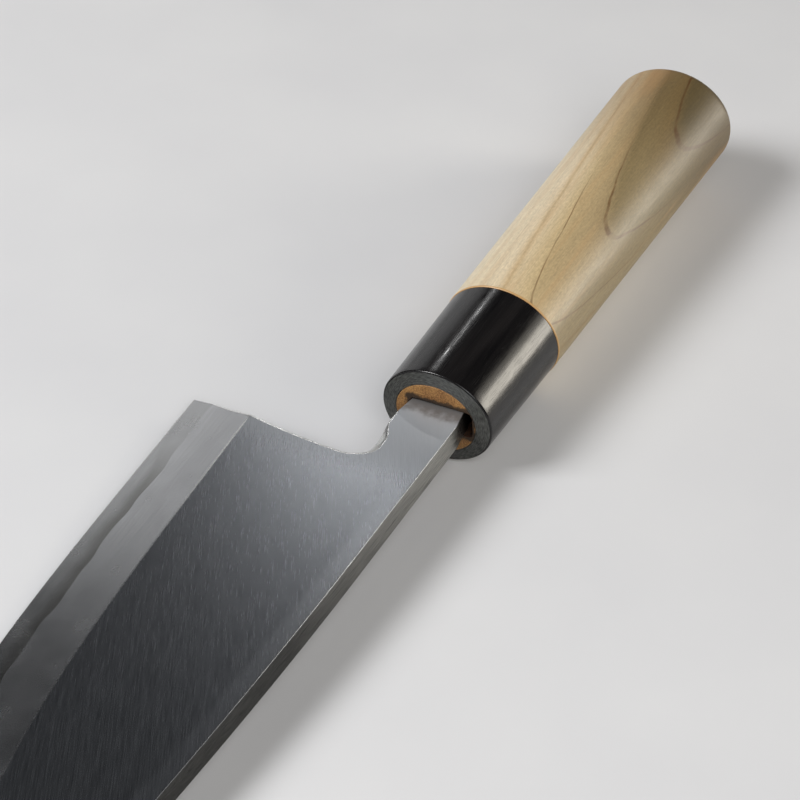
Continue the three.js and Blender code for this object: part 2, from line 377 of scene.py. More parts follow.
def makeBlade(ironMaterials, steelMaterials):
    b = blade
    points, marks = bladeOutline()
    columns = wallColumns(points)
    count = len(points)
    iron, steel = Skin("blade_iron"), Skin("blade_edge_steel")
    tops = [c[0][0] for c in columns]
    backs = [c[0][-1] for c in columns]
    outerEnd, heelSteel = marks["weldEnd"], range(marks["steelStart"], marks["weldStart"] + 1)

    # upper side, kept apart along the weld line and faceted along the ridge
    def between(startMark, endMark, lineY, shift):
        x0, x1 = tops[marks[startMark]][0], tops[marks[endMark]][0]
        steps = b["lineSteps"]
        line = [tops[marks[startMark]][:2]]
        for i in range(1, steps):
            x = x0 + (x1 - x0) * i / steps
            fade = min(1.0, i / b["lineFade"], (steps - i) / b["lineFade"])
            line.append((x, lineY(x) + shift * fade))
        line.append(tops[marks[endMark]][:2])
        return line

    ridgeLow = between("ridgeStart", "ridgeEnd", ridgeY, -b["ridgeFacet"][0])
    ridgeHigh = between("ridgeStart", "ridgeEnd", ridgeY, b["ridgeFacet"][1])
    weld = between("weldStart", "weldEnd", weldY, 0)
    weldTop = [(x, y, topZ(x, y)) for x, y in weld]
    weldTop[0], weldTop[-1] = tops[marks["weldStart"]], tops[marks["weldEnd"]]
    for line in (ridgeLow, ridgeHigh):
        iron.crease([(x, y, topZ(x, y)) for x, y in line])
    iron.crease(weldTop)
    steel.crease(weldTop)
    plan = [t[:2] for t in tops]
    heights = {pointKey(t[:2]): t for t in tops}
    heights.update({pointKey(w[:2]): w for w in weldTop})
    steelEnd = tops[outerEnd][0]
    for triangle in fillPlan(plan, [ridgeLow, ridgeHigh, weld]):
        middle = [sum(c) / 3 for c in zip(*triangle)]
        lifted = [heights.get(pointKey(p), (*p, topZ(*p))) for p in triangle]
        isSteel = middle[0] > steelEnd or (middle[0] > b["heelX"] and middle[1] < weldY(middle[0]))
        isBevel = middle[0] > b["heelX"] and middle[1] < ridgeY(middle[0])
        onRidge = -b["ridgeFacet"][0] < middle[1] - ridgeY(middle[0]) < b["ridgeFacet"][1]
        isRidge = middle[0] > b["heelX"] and onRidge
        finish = rubbedGlintFinish if isRidge else bevelFinish if isBevel else flatFinish
        (steel if isSteel else iron).face(lifted, finish)

    # walls: the heel is split where the weld comes out
    weldOut = {}
    for i in range(count):
        j = (i + 1) % count
        pair = []
        for c in (i, j):
            column, wallTop = columns[c]
            x, y, _ = column[wallTop]
            cut = (x, y, column[wallTop][2] if c == marks["weldStart"] else weldZ(x))
            weldOut[c] = cut
            pair.append((column[:wallTop + 1] + [cut], [cut] + column[wallTop + 1:]))
        if i in heelSteel and j in heelSteel:
            stitch(iron, pair[0][0], pair[1][0], rubbedGlintFinish)
            stitch(steel, pair[0][1], pair[1][1], bevelFinish, 0)
            continue
        allSteel = i < outerEnd or i >= marks["weldStart"]
        edgeFinish = bevelFinish if allSteel else rubbedGlintFinish if i >= marks["choil"] else flatFinish
        stitch(steel if allSteel else iron, columns[i][0], columns[j][0], edgeFinish)

    # where the steel meets the iron on the back: in from the heel, along under the spine, out to the spine
    upper = b["spineHeight"] - b["steelBelowSpine"]
    startColumn, endColumn = columns[marks["steelStart"]][0], columns[outerEnd][0]
    startIn = Vector(startColumn[-1][:2]) + Vector((b["steelSetback"], -b["heelLean"] * b["steelSetback"]))
    endIn = Vector(endColumn[-1][:2]) + Vector(b["bedEnd"])
    innerX = heelLineX(upper) + b["steelSetback"]
    corner, run = b["bedCorner"]
    bedLine = [tuple(startIn), (innerX + corner, upper - corner)]
    nearX = innerX + run
    farX = solve(lambda x: spineY(x) - b["bedRim"] - upper, b["spineStraight"], tipX) - b["bedStop"]
    steps = b["bedSteps"]
    bedLine += [(nearX + (farX - nearX) * i / steps, upper) for i in range(steps + 1)]
    bedLine.append(tuple(endIn))
    bedLow = [(x, y, lowZ(x)) for x, y in bedLine]
    bedHigh = [(x, y, weldZ(x)) for x, y in bedLine]
    outStart = [weldOut[marks["steelStart"]]] + startColumn[columns[marks["steelStart"]][1] + 1:]
    for skin in (iron, steel):
        stitchBed(skin, bedLow, bedHigh)
        skin.face(outStart + [bedLow[0], bedHigh[0]], backFinish)
        skin.face(endColumn + [bedLow[-1], bedHigh[-1]], backFinish)
    inner = [weldOut[i] for i in heelSteel] + weldTop + bedHigh[::-1]
    innerHeights = {pointKey(p[:2]): p for p in inner}
    for triangle in fillPlan([p[:2] for p in inner]):
        lifted = [innerHeights.get(pointKey(p), (*p, weldZ(p[0]))) for p in triangle]
        iron.face(lifted, backFinish)
        steel.face(lifted, backFinish)

    # back: plain iron under the spine and neck, hollow-ground steel below
    ironBack = [backs[i] for i in range(outerEnd, marks["steelStart"] + 1)] + bedLow
    backHeights = {pointKey(p[:2]): p for p in ironBack}
    for triangle in fillPlan([p[:2] for p in ironBack]):
        iron.face([backHeights.get(pointKey(p), (*p, lowZ(p[0]))) for p in triangle], backFinish)
    steelRim = [*range(marks["steelStart"], count), *range(outerEnd + 1)]
    fillHollow(steel, [p[:2] for p in [backs[i] for i in steelRim] + bedLow[::-1]])
    bladeIron = iron.make(ironMaterials, b["ironCrease"], bladeMap)
    bladeSteel = steel.make(steelMaterials, b["steelCrease"], bladeMap)
    return bladeIron, bladeSteel


def stitchBed(skin, low, high):
    for k in range(len(low) - 1):
        skin.face((low[k], low[k + 1], high[k + 1], high[k]), backFinish)


# The hollow of the back rises gently from a flat rim
def fillHollow(skin, rim):
    b = blade
    sides = list(zip(rim, rim[1:] + rim[:1]))

    def rimDistance(p):
        best = math.inf
        for (x0, y0), (x1, y1) in sides:
            dx, dy = x1 - x0, y1 - y0
            t = ((p[0] - x0) * dx + (p[1] - y0) * dy) / max(1e-9, dx * dx + dy * dy)
            t = min(1.0, max(0.0, t))
            best = min(best, math.hypot(p[0] - x0 - t * dx, p[1] - y0 - t * dy))
        return best

    step = b["hollowGrid"]
    loose, depth = [], {}
    rows = int(b["heelDepth"] / step) + 2
    for i in range(int(b["length"] / step) + 1):
        for j in range(rows):
            p = (b["heelX"] + step * (i + 0.5 * (j % 2)), -b["heelDepth"] + step * j)
            if insidePolygon(p, rim):
                away = rimDistance(p)
                if away > b["hollowClear"]:
                    loose.append(p)
                    depth[pointKey(p)] = b["hollow"] * smooth(away, b["hollowRim"], b["hollowRun"])
    for triangle in fillPlan(rim, (), loose):
        skin.face([(*p, backZ + depth.get(pointKey(p), 0)) for p in triangle], backFinish)


# Handle, in millimetres; an oval's first size runs from edge side to spine side
handle = {
    "length": 126.3, "ferruleLength": 30,
    "front": (25.4, 22.5), "joint": (26.9, 23.8), "butt": (30.42, 26.64),
    "tenon": (18.4, 16.3), "tenonShift": (-0.33, -0.66), "tenonEase": 0.1,
    "rim": 0.4, "boreEase": 0.15, "boreGap": 0.02, "boreStep": 0.05,
    "jointEase": 0.12, "jointGap": 0.03, "proud": 0.24,
    "buttRound": 3.7, "buttCrown": 0.25,
    "slotLow": -6.15, "slotHigh": 8.25, "slotHalf": 3.25, "slotDepth": 9, "slotEase": 0.07, "slotCorner": 8,
    "tangClear": 0.25,
    # mesh: a support row, the smallest ring that closes an end, and the rows of each stretch
    "support": 0.1, "slotPoint": 0.05, "crownPoint": 0.02, "sides": 160, "ferruleRows": 24, "rimSteps": 6,
    "rows": 70, "buttSteps": 14, "crownSteps": 6, "crease": 32,
}
buffed, faced = range(2)
sideWood, endWood, slotWood = range(3)


def oval(x, size, inset=0.0, shift=(0, 0)):
    n = handle["sides"]
    return [(x, shift[0] + (size[0] / 2 - inset) * math.cos(2 * math.pi * i / n),
             shift[1] + (size[1] / 2 - inset) * math.sin(2 * math.pi * i / n)) for i in range(n)]


# Slot mouth: a long rounded rectangle, drawn as a squared oval
def slotRing(x, low, high, half):
    n, power = handle["sides"], 2 / handle["slotCorner"]
    middle, reach = (low + high) / 2, (high - low) / 2
    ring = []
    for i in range(n):
        c, s = math.cos(2 * math.pi * i / n), math.sin(2 * math.pi * i / n)
        y = middle + reach * math.copysign(abs(c) ** power, c)
        ring.append((x, y, half * math.copysign(abs(s) ** power, s)))
    return ring


def mixSize(a, b, share):
    return tuple(p + (q - p) * share for p, q in zip(a, b))


def stitchRings(skin, rings, finishes):
    for ring, after, finish in zip(rings, rings[1:], finishes):
        for i in range(len(ring)):
            j = (i + 1) % len(ring)
            skin.face((ring[i], ring[j], after[j], after[i]), finish)


def makeFerrule(materials):
    h = handle
    skin = Skin("handle_horn_ferrule")
    shift, back = h["tenonShift"], -h["ferruleLength"]
    bore = tuple(size + 2 * h["boreGap"] for size in h["tenon"])
    rings = [oval(back, bore, 0, shift), oval(back, h["joint"], h["jointEase"])]
    finishes = [buffed]
    first, last = back + h["jointEase"], -h["rim"]
    for i in range(h["ferruleRows"] + 1):
        share = i / h["ferruleRows"]
        rings.append(oval(first + (last - first) * share, mixSize(h["joint"], h["front"], share)))
        finishes.append(buffed)
    for i in range(1, h["rimSteps"] + 1):
        turn = math.pi / 2 * i / h["rimSteps"]
        rings.append(oval(h["rim"] * (math.sin(turn) - 1), h["front"], h["rim"] * (1 - math.cos(turn))))
        finishes.append(buffed)
    rings.append(oval(0, h["front"], h["rim"] + h["support"]))
    rings.append(oval(0, bore, -h["boreEase"] - h["boreStep"], shift))
    rings.append(oval(-h["boreStep"], bore, -h["boreEase"], shift))
    rings.append(oval(-h["boreEase"], bore, 0, shift))
    rings.append(oval(back, bore, 0, shift))
    finishes += [faced, faced, faced, faced, buffed]
    stitchRings(skin, rings, finishes)
    return skin.make(materials, h["crease"])


def makeGrip(materials):
    h, n = handle, neck
    skin = Skin("handle_wooden_grip")
    rings, finishes = [], []

    def put(ring, finish):
        rings.append(ring)
        finishes.append(finish)

    # from the slot's bottom out to its mouth
    clear, point = h["tangClear"], h["slotPoint"]
    end, root = n["tangEnd"], n["tangRoot"]
    bottom = -n["tangLength"] - clear
    put(slotRing(bottom, -point, point, point), slotWood)
    put(slotRing(bottom, -end[0] - clear, end[1] + clear, end[2] / 2 + clear), slotWood)
    narrow = -h["slotDepth"] - n["tangStep"]
    put(slotRing(narrow, -root[0] - clear, root[1] + clear, root[2] / 2 + clear), slotWood)
    put(slotRing(-h["slotDepth"], h["slotLow"], h["slotHigh"], h["slotHalf"]), slotWood)
    put(slotRing(-h["slotEase"], h["slotLow"], h["slotHigh"], h["slotHalf"]), slotWood)
    ease = h["slotEase"]
    put(slotRing(0, h["slotLow"] - ease, h["slotHigh"] + ease, h["slotHalf"] + ease), endWood)

    # over the tenon to the shoulder, along the handle and round the butt
    shoulder = -h["ferruleLength"] - h["jointGap"]
    put(oval(0, h["tenon"], h["tenonEase"], h["tenonShift"]), endWood)
    put(oval(-h["tenonEase"], h["tenon"], 0, h["tenonShift"]), endWood)
    put(oval(shoulder, h["tenon"], 0, h["tenonShift"]), endWood)
    joint = tuple(size + h["proud"] for size in h["joint"])
    put(oval(shoulder, joint, h["jointEase"]), sideWood)
    first, last = shoulder - h["jointEase"], -h["length"] + h["buttRound"]
    for i in range(h["rows"] + 1):
        share = i / h["rows"]
        put(oval(first + (last - first) * share, mixSize(joint, h["butt"], share)), sideWood)
    for i in range(1, h["buttSteps"] + 1):
        turn = math.pi / 2 * i / h["buttSteps"]
        x = last - (h["buttRound"] - h["buttCrown"]) * math.sin(turn)
        put(oval(x, h["butt"], h["buttRound"] * (1 - math.cos(turn))), sideWood)
    for i in range(1, h["crownSteps"] + 1):
        share = i / h["crownSteps"]
        inset = h["buttRound"] + (h["butt"][1] / 2 - h["buttRound"] - h["crownPoint"]) * share
        put(oval(-h["length"] + h["buttCrown"] * (1 - share) ** 2, h["butt"], inset), sideWood)
    stitchRings(skin, rings, finishes)
    skin.face(rings[0], slotWood)
    skin.face(rings[-1], sideWood)
    return skin.make(materials, h["crease"])


# sRGB hex to linear
def colour(code):
    channels = [int(code[i:i + 2], 16) / 255 for i in (1, 3, 5)]
    return (*[c / 12.92 if c <= 0.04045 else ((c + 0.055) / 1.055) ** 2.4 for c in channels], 1.0)


# Socket numbers: a range takes its value at 0 and its ends at 1 to 4, a colour mix its share at 0
# and its colours at 6 and 7
kinds = {
    "output": "ShaderNodeOutputMaterial", "shader": "ShaderNodeBsdfPrincipled",
    "attribute": "ShaderNodeAttribute", "place": "ShaderNodeTexCoord", "mapping": "ShaderNodeMapping",
    "noise": "ShaderNodeTexNoise", "ramp": "ShaderNodeValToRGB", "range": "ShaderNodeMapRange",
    "mix": "ShaderNodeMix", "math": "ShaderNodeMath", "vector": "ShaderNodeVectorMath",
    "split": "ShaderNodeSeparateXYZ", "join": "ShaderNodeCombineXYZ", "bump": "ShaderNodeBump",
}
# Settings that many nodes share
soft = {"interpolation_type": "SMOOTHSTEP"}
tinted = {"data_type": "RGBA"}
times = {"operation": "MULTIPLY"}
scaled = {"operation": "SCALE"}
noiseSpread = (0.3, 0.7)  # nearly all of a noise lies between these


# Adds a node, sets its fields, colour stops and inputs; a socket given as an input is linked
def addNode(tree, kind, inputs=None, stops=None, **settings):
    node = tree.nodes.new(kinds[kind])
    for name, value in settings.items():
        setattr(node, name, value)
    for key, value in (inputs or {}).items():
        if isinstance(value, bpy.types.NodeSocket):
            tree.links.new(value, node.inputs[key])
        else:
            node.inputs[key].default_value = value
    if stops:
        elements = node.color_ramp.elements
        while len(elements) < len(stops):
            elements.new(0.5)
        for element, (place, code) in zip(elements, stops):
            element.position = place
            element.color = colour(code)
    return next((socket for socket in node.outputs if socket.enabled), node)


# A material, its empty tree and the vectors that it reads from the mesh
def newMaterial(name, *maps):
    material = bpy.data.materials.new(name)
    material.use_nodes = True
    tree = material.node_tree
    tree.nodes.clear()
    readers = [addNode(tree, "attribute", attribute_name=mapName) for mapName in maps]
    return material, tree, *[reader.node.outputs["Vector"] for reader in readers]


def finishMaterial(tree, inputs):
    addNode(tree, "output", {0: addNode(tree, "shader", inputs)})


# A range's inputs: the ends that it reads and what it gives there
def span(reads, gives=(0, 1)):
    return {1: reads[0], 2: reads[1], 3: gives[0], 4: gives[1]}


# The same, where it reads a place on the knife
def spanMm(reads, gives=(0, 1)):
    return span([end * mm for end in reads], gives)


# A noise's inputs for grains of a size in mm
def grains(place, sizeMm, detail=2.0):
    return {"Vector": place, "Scale": 1 / (sizeMm * mm), "Detail": detail}


# A bump's inputs: its strength, and its depth in mm
def relief(height, size):
    return {"Height": height, "Strength": size[0], "Distance": size[1] * mm}


# Lines one way: noise drawn out along an angle from the X axis, length and width in mm.
# A seed shifts them, so that no two patterns agree.
def streaks(tree, place, angle, size, seed=0.0):
    turned = addNode(tree, "mapping", {
        0: place, "Location": (seed, seed, seed), "Rotation": (0, 0, math.radians(angle)),
        "Scale": (size[0] * mm, size[1] * mm, size[1] * mm)}, vector_type="TEXTURE")
    return addNode(tree, "noise", {"Vector": turned, "Scale": 1.0, "Detail": 2.0, "Roughness": 0.6})


# Two tones as the ends of a ramp
def tonesOf(pair):
    return list(enumerate(pair))


# Soft iron, brushed across the flat: blue-grey with slanting lines and bright specks, both drawn coarser than
# real ones, a lighter strip under the spine, and on the neck a brown stain and a pale, less metallic patch
# that is painted reflection.
# Each run goes from none to full, in mm.
flatLook = {
    "tones": ("#8e9196", "#a8abb0"), "roughness": (0.23, 0.28), "relief": (0.04, 0.01),
    "slant": 28.6, "lines": (6, 0.12), "lineSpread": (0.32, 0.68),
    "sweeps": (26, 0.9), "sweepTone": (0.95, 1.04),
    "speck": "#d8d8d8", "speckMm": 0.22, "speckSpread": (0.64, 0.74), "speckShare": (0, 0.2),
    "strip": "#b9bcc1", "stripDepth": (4.4, 2.6), "stripRun": (22, 46), "stripShare": (0, 0.55),
    "paintedNeckLight": "#b9bcc0", "paintedNeckLightRun": (27, 4), "paintedNeckLightShare": (0, 0.85), "paintedNeckLightRough": 0.2, "paintedNeckLightMetal": (1.0, 0.35),
    "stain": "#5d544c", "stainMm": 2.2, "stainWander": 5, "stainRun": (7.0, 3.4), "stainShare": (0, 0.75),
    "soot": "#15110f", "sootRun": (0, -3),
}


def brushedFlat(name):
    look = flatLook
    material, tree, place, onBlade = newMaterial(name, "knifePlace", "bladeMap")
    x = addNode(tree, "split", {0: place})
    fromSpine = addNode(tree, "split", {0: onBlade})
    fine = streaks(tree, place, look["slant"], look["lines"])
    tone = addNode(tree, "range", {0: fine, **span(look["lineSpread"])})
    base = addNode(tree, "ramp", {0: tone}, stops=tonesOf(look["tones"]))
    broad = streaks(tree, place, look["slant"], look["sweeps"], seed=0.3)
    sweep = addNode(tree, "range", {0: broad, **span(noiseSpread, look["sweepTone"])})
    base = addNode(tree, "vector", {0: base, "Scale": sweep}, **scaled)
    speck = addNode(tree, "noise", grains(place, look["speckMm"]))
    speck = addNode(tree, "range", {0: speck, **span(look["speckSpread"], look["speckShare"])})
    base = addNode(tree, "mix", {0: speck, 6: base, 7: colour(look["speck"])}, **tinted)
    strip = addNode(tree, "range", {0: fromSpine, **span(look["stripDepth"], look["stripShare"])}, **soft)
    pastNeck = addNode(tree, "range", {0: x, **spanMm(look["stripRun"])}, **soft)
    strip = addNode(tree, "math", {0: strip, 1: pastNeck}, **times)
    base = addNode(tree, "mix", {0: strip, 6: base, 7: colour(look["strip"])}, **tinted)
    # painted reflection: the neck turns pale and less metallic, standing in for its bright reflection
    paintedNeckLight = addNode(tree, "range", {0: x, **spanMm(look["paintedNeckLightRun"], look["paintedNeckLightShare"])}, **soft)
    base = addNode(tree, "mix", {0: paintedNeckLight, 6: base, 7: colour(look["paintedNeckLight"])}, **tinted)
    wander = addNode(tree, "noise", grains(place, look["stainMm"], detail=4.0))
    wander = addNode(tree, "math", {0: wander, 1: look["stainWander"] * mm}, **times)
    reach = addNode(tree, "math", {0: x, 1: wander}, operation="ADD")
    stain = addNode(tree, "range", {0: reach, **spanMm(look["stainRun"], look["stainShare"])}, **soft)
    base = addNode(tree, "mix", {0: stain, 6: base, 7: colour(look["stain"])}, **tinted)
    soot = addNode(tree, "range", {0: x, **spanMm(look["sootRun"])})
    base = addNode(tree, "mix", {0: soot, 6: base, 7: colour(look["soot"])}, **tinted)
    rough = addNode(tree, "range", {0: fine, **span(noiseSpread, look["roughness"])})
    rough = addNode(tree, "math", {0: paintedNeckLight, 1: look["paintedNeckLightRough"], 2: rough}, operation="MULTIPLY_ADD")
    metal = addNode(tree, "range", {0: paintedNeckLight, **span((0, 1), look["paintedNeckLightMetal"])})
    bump = addNode(tree, "bump", relief(fine, look["relief"]))
    finishMaterial(tree, {"Base Color": base, "Roughness": rough, "Normal": bump, "Metallic": metal})
    return material


# Iron or steel worked down on flat stones: pale, even satin, faint lines along the edge drawn coarser than
# real ones. The steel is a shade more olive and darkest against the weld, and it is painted paler towards the
# heel as painted light. One scuff shows near the heel. A thin pale line along the cutting edge is a painted
# highlight.
bevelLook = {
    "iron": ("#c3c4c6", "#cfd0d2"), "steel": ("#969694", "#c6c7c8"), "roughness": (0.23, 0.28),
    "ironRun": (6, 0), "steelRun": (-0.2, -4.5), "paintedHeelLightRun": (48, 26),  # from the first tone to the second
    "cloudMm": 7, "cloudDrift": (-0.15, 0.15), "gritMm": 0.2, "gritTone": (0.94, 1.06),
    "lineAngle": 4, "lines": (14, 0.3), "lineTone": (0.94, 1.05), "relief": (0.06, 0.02),
    "scuff": "#eaeae8", "scuffAt": (22.6, -40.6, -0.4), "scuffRun": (4.2, 1.5), "scuffShare": (0, 0.6),
    "scratchAngle": 22, "scratches": (2.4, 0.12), "scratchSpread": (0.6, 0.72),
    "edge": "#e4e4e1", "edgeRun": (0.45, 0.12), "edgeShare": (0, 0.6),
}


def stonedBevel(name, isSteel):
    look = bevelLook
    material, tree, place, onBlade = newMaterial(name, "knifePlace", "bladeMap")
    fromEdge, fromWeld = addNode(tree, "split", {0: onBlade}).node.outputs[1:3]
    lines = streaks(tree, place, look["lineAngle"], look["lines"])
    cloud = addNode(tree, "noise", grains(place, look["cloudMm"], detail=4.0))
    if isSteel:
        share = addNode(tree, "range", {0: fromWeld, **span(look["steelRun"])}, **soft)
        x = addNode(tree, "split", {0: place})
        # painted light: the steel turns paler towards the heel
        heel = addNode(tree, "range", {0: x, **spanMm(look["paintedHeelLightRun"])}, **soft)
        share = addNode(tree, "math", {0: share, 1: heel}, operation="MAXIMUM")
    else:
        share = addNode(tree, "range", {0: fromWeld, **span(look["ironRun"])})
    drift = addNode(tree, "range", {0: cloud, **span(noiseSpread, look["cloudDrift"])})
    share = addNode(tree, "math", {0: share, 1: drift}, operation="ADD")
    base = addNode(tree, "ramp", {0: share}, stops=tonesOf(look["steel" if isSteel else "iron"]))
    sweep = addNode(tree, "range", {0: lines, **span(noiseSpread, look["lineTone"])})
    grit = addNode(tree, "noise", grains(place, look["gritMm"]))
    grit = addNode(tree, "range", {0: grit, **span(noiseSpread, look["gritTone"])})
    sweep = addNode(tree, "math", {0: sweep, 1: grit}, **times)
    base = addNode(tree, "vector", {0: base, "Scale": sweep}, **scaled)
    scratch = streaks(tree, place, look["scratchAngle"], look["scratches"], seed=0.6)
    scratch = addNode(tree, "range", {0: scratch, **span(look["scratchSpread"])})
    scuffAt = tuple(c * mm for c in look["scuffAt"])
    away = addNode(tree, "vector", {0: place, 1: scuffAt}, operation="DISTANCE").node.outputs[1]
    patch = addNode(tree, "range", {0: away, **spanMm(look["scuffRun"], look["scuffShare"])}, **soft)
    scuff = addNode(tree, "math", {0: scratch, 1: patch}, **times)
    base = addNode(tree, "mix", {0: scuff, 6: base, 7: colour(look["scuff"])}, **tinted)
    # painted highlight: a thin pale line along the cutting edge
    paintedEdgeHighlight = addNode(tree, "range", {0: fromEdge, **span(look["edgeRun"], look["edgeShare"])})
    base = addNode(tree, "mix", {0: paintedEdgeHighlight, 6: base, 7: colour(look["edge"])}, **tinted)
    rough = addNode(tree, "range", {0: cloud, **span(noiseSpread, look["roughness"])})
    bump = addNode(tree, "bump", relief(lines, look["relief"]))
    finishMaterial(tree, {"Base Color": base, "Roughness": rough, "Normal": bump, "Metallic": 1.0})
    return material


# Iron rubbed bright where hands and stones meet an edge: a thin pale line with faint nicks, partly real
# polish and partly a painted glint. It is painted brightest along the ridge by the heel, a painted highlight,
# and duller towards the tip, painted shade.
rubbedGlintLook = {
    "tones": ("#c8c8c6", "#dcdcda"), "roughness": (0.3, 0.24), "nickMm": 1.4, "nickSpread": (0.35, 0.65),
    "ridge": "#f4f4f2", "ridgeRun": (-20, -26), "far": "#b4b5b7", "farRun": (28, 60),
}


def rubbedGlintEdge(name):
    look = rubbedGlintLook
    material, tree, place = newMaterial(name, "knifePlace")
    x, y, _ = addNode(tree, "split", {0: place}).node.outputs
    wear = addNode(tree, "noise", grains(place, look["nickMm"], detail=4.0))
    wear = addNode(tree, "range", {0: wear, **span(look["nickSpread"])})
    base = addNode(tree, "ramp", {0: wear}, stops=tonesOf(look["tones"]))
    # painted highlight along the ridge by the heel, then painted shade towards the tip
    ridge = addNode(tree, "range", {0: y, **spanMm(look["ridgeRun"])})
    base = addNode(tree, "mix", {0: ridge, 6: base, 7: colour(look["ridge"])}, **tinted)
    far = addNode(tree, "range", {0: x, **spanMm(look["farRun"])}, **soft)
    base = addNode(tree, "mix", {0: far, 6: base, 7: colour(look["far"])}, **tinted)
    rough = addNode(tree, "range", {0: wear, **span((0, 1), look["roughness"])})
    finishMaterial(tree, {"Base Color": base, "Roughness": rough, "Metallic": 1.0})
    return material


# Iron or steel ground lengthwise on a wheel: grey with long lines, drawn coarser than real ones, and sooty
# inside the handle. On the spine the darker tones and the darkening away from the neck are painted shade, and
# the brightening near the neck is painted light, standing in for the floor that the spine reflects.
groundLook = {
    "roughness": (0.26, 0.38), "relief": (0.3, 0.02), "spineDepth": (4, 2), "darkenRun": (8, 70),
    "soot": "#15110f", "sootRun": (1.5, -2),
}
# the spine's darker tones are painted shade; the back's are its own grey
spineLook = {"tones": ("#434341", "#8a8984"), "lines": (7, 0.13), "darkenTone": (2.5, 0.32)}
backLook = {"tones": ("#8b8d8f", "#b0b2b4"), "lines": (12, 0.16), "darkenTone": (1.0, 1.0)}


def groundLengthwise(name, side):
    look = groundLook
    material, tree, place, onBlade = newMaterial(name, "knifePlace", "bladeMap")
    x = addNode(tree, "split", {0: place})
    fromSpine = addNode(tree, "split", {0: onBlade})
    lines = streaks(tree, place, 0, side["lines"])
    tone = addNode(tree, "range", {0: lines, **span(noiseSpread)})
    base = addNode(tree, "ramp", {0: tone}, stops=tonesOf(side["tones"]))
    # painted light and shade on the spine: brighter near the neck, darker towards the tip
    paintedSpineShade = addNode(tree, "range", {0: x, **spanMm(look["darkenRun"], side["darkenTone"])})
    onSpine = addNode(tree, "range", {0: fromSpine, **span(look["spineDepth"])})
    paintedSpineShade = addNode(tree, "mix", {0: onSpine, 2: 1.0, 3: paintedSpineShade})
    base = addNode(tree, "vector", {0: base, "Scale": paintedSpineShade}, **scaled)
    soot = addNode(tree, "range", {0: x, **spanMm(look["sootRun"])}, **soft)
    base = addNode(tree, "mix", {0: soot, 6: base, 7: colour(look["soot"])}, **tinted)
    rough = addNode(tree, "range", {0: lines, **span(noiseSpread, look["roughness"])})
    bump = addNode(tree, "bump", relief(lines, look["relief"]))
    finishMaterial(tree, {"Base Color": base, "Roughness": rough, "Normal": bump, "Metallic": 1.0})
    return material


# Buffalo horn, turned and buffed: near black and glossy, with scratches along it, drawn coarser than real
hornLook = {
    "tones": ("#0c0b0c", "#1c1a1a"), "veins": (40, 3.0), "veinSpread": (0.35, 0.7), "ior": 1.45,
    "lines": (5, 0.2), "roughness": (0.12, 0.3), "relief": (0.09, 0.02),
}


def buffedHorn(name):
    look = hornLook
    material, tree, place = newMaterial(name, "knifePlace")
    lines = streaks(tree, place, 0, look["lines"])
    veins = streaks(tree, place, 0, look["veins"], seed=0.4)
    base = addNode(tree, "ramp", {0: veins}, stops=list(zip(look["veinSpread"], look["tones"])))
    rough = addNode(tree, "range", {0: lines, **span(noiseSpread, look["roughness"])})
    bump = addNode(tree, "bump", relief(lines, look["relief"]))
    finishMaterial(tree, {"Base Color": base, "Roughness": rough, "Normal": bump, "IOR": look["ior"]})
    return material


# The same horn where the front was faced on sandpaper: matte grey, scratches running round the tang
frontLook = {
    "tones": ("#141514", "#5a5b57"), "toneSpread": (0.35, 0.7), "roughness": 0.5, "ior": 1.54,
    "scratchesPerRadian": 9.0, "scratchMm": 0.17, "relief": (0.5, 0.05),
}


def sandedHorn(name):
    look = frontLook
    material, tree, place = newMaterial(name, "knifePlace")
    _, y, z = addNode(tree, "split", {0: place}).node.outputs
    angle = addNode(tree, "math", {0: z, 1: y}, operation="ARCTAN2")
    angle = addNode(tree, "math", {0: angle, 1: look["scratchesPerRadian"]}, **times)
    radius = addNode(tree, "vector", {0: place, 1: (0, 1, 1)}, **times)
    radius = addNode(tree, "vector", {0: radius}, operation="LENGTH").node.outputs[1]
    radius = addNode(tree, "math", {0: radius, 1: look["scratchMm"] * mm}, operation="DIVIDE")
    lap = addNode(tree, "join", {0: angle, 1: radius})
    lines = addNode(tree, "noise", {"Vector": lap, "Scale": 1.0, "Detail": 3.0})
    tone = addNode(tree, "range", {0: lines, **span(look["toneSpread"])})
    base = addNode(tree, "ramp", {0: tone}, stops=tonesOf(look["tones"]))
    bump = addNode(tree, "bump", relief(lines, look["relief"]))
    rough = look["roughness"]
    finishMaterial(tree, {"Base Color": base, "Roughness": rough, "Normal": bump, "IOR": look["ior"]})
    return material


# Growth rings: distance from a pith beside the handle that leans along it, in mm
growth = {
    "pithAway": 30, "pithAngle": 48.8, "lean": 0.0453,
    "wander": 0.16, "bends": (30, 8), "bendSpread": (0.25, 0.75),
}
# Ring distance in mm and colour there: cream sapwood into a tan-brown heart
ringTones = (
    (6.0, "#e0d0b0"), (10.6, "#dcc9a8"), (11.5, "#cfb58b"), (12.2, "#d4bf9a"), (13.6, "#c8b187"),
    (14.1, "#bba47b"), (15.2, "#b29c75"), (15.7, "#aa946e"), (16.4, "#8c7a56"), (17.2, "#917f5b"),
    (18.1, "#8f7b56"), (18.8, "#746748"), (20.0, "#766949"),
)
# Late-wood lines: ring distance, half width, strength, and the run along the handle over which each fades
lateWood = (
    (9.3, 0.2, 0.10, (-130, -140)), (11.55, 0.25, 0.22, (-130, -140)), (13.84, 0.07, 0.85, (-60, -84)),
    (16.07, 0.09, 0.95, (-77, -96)), (18.4, 0.1, 1.0, (-130, -140)),
)


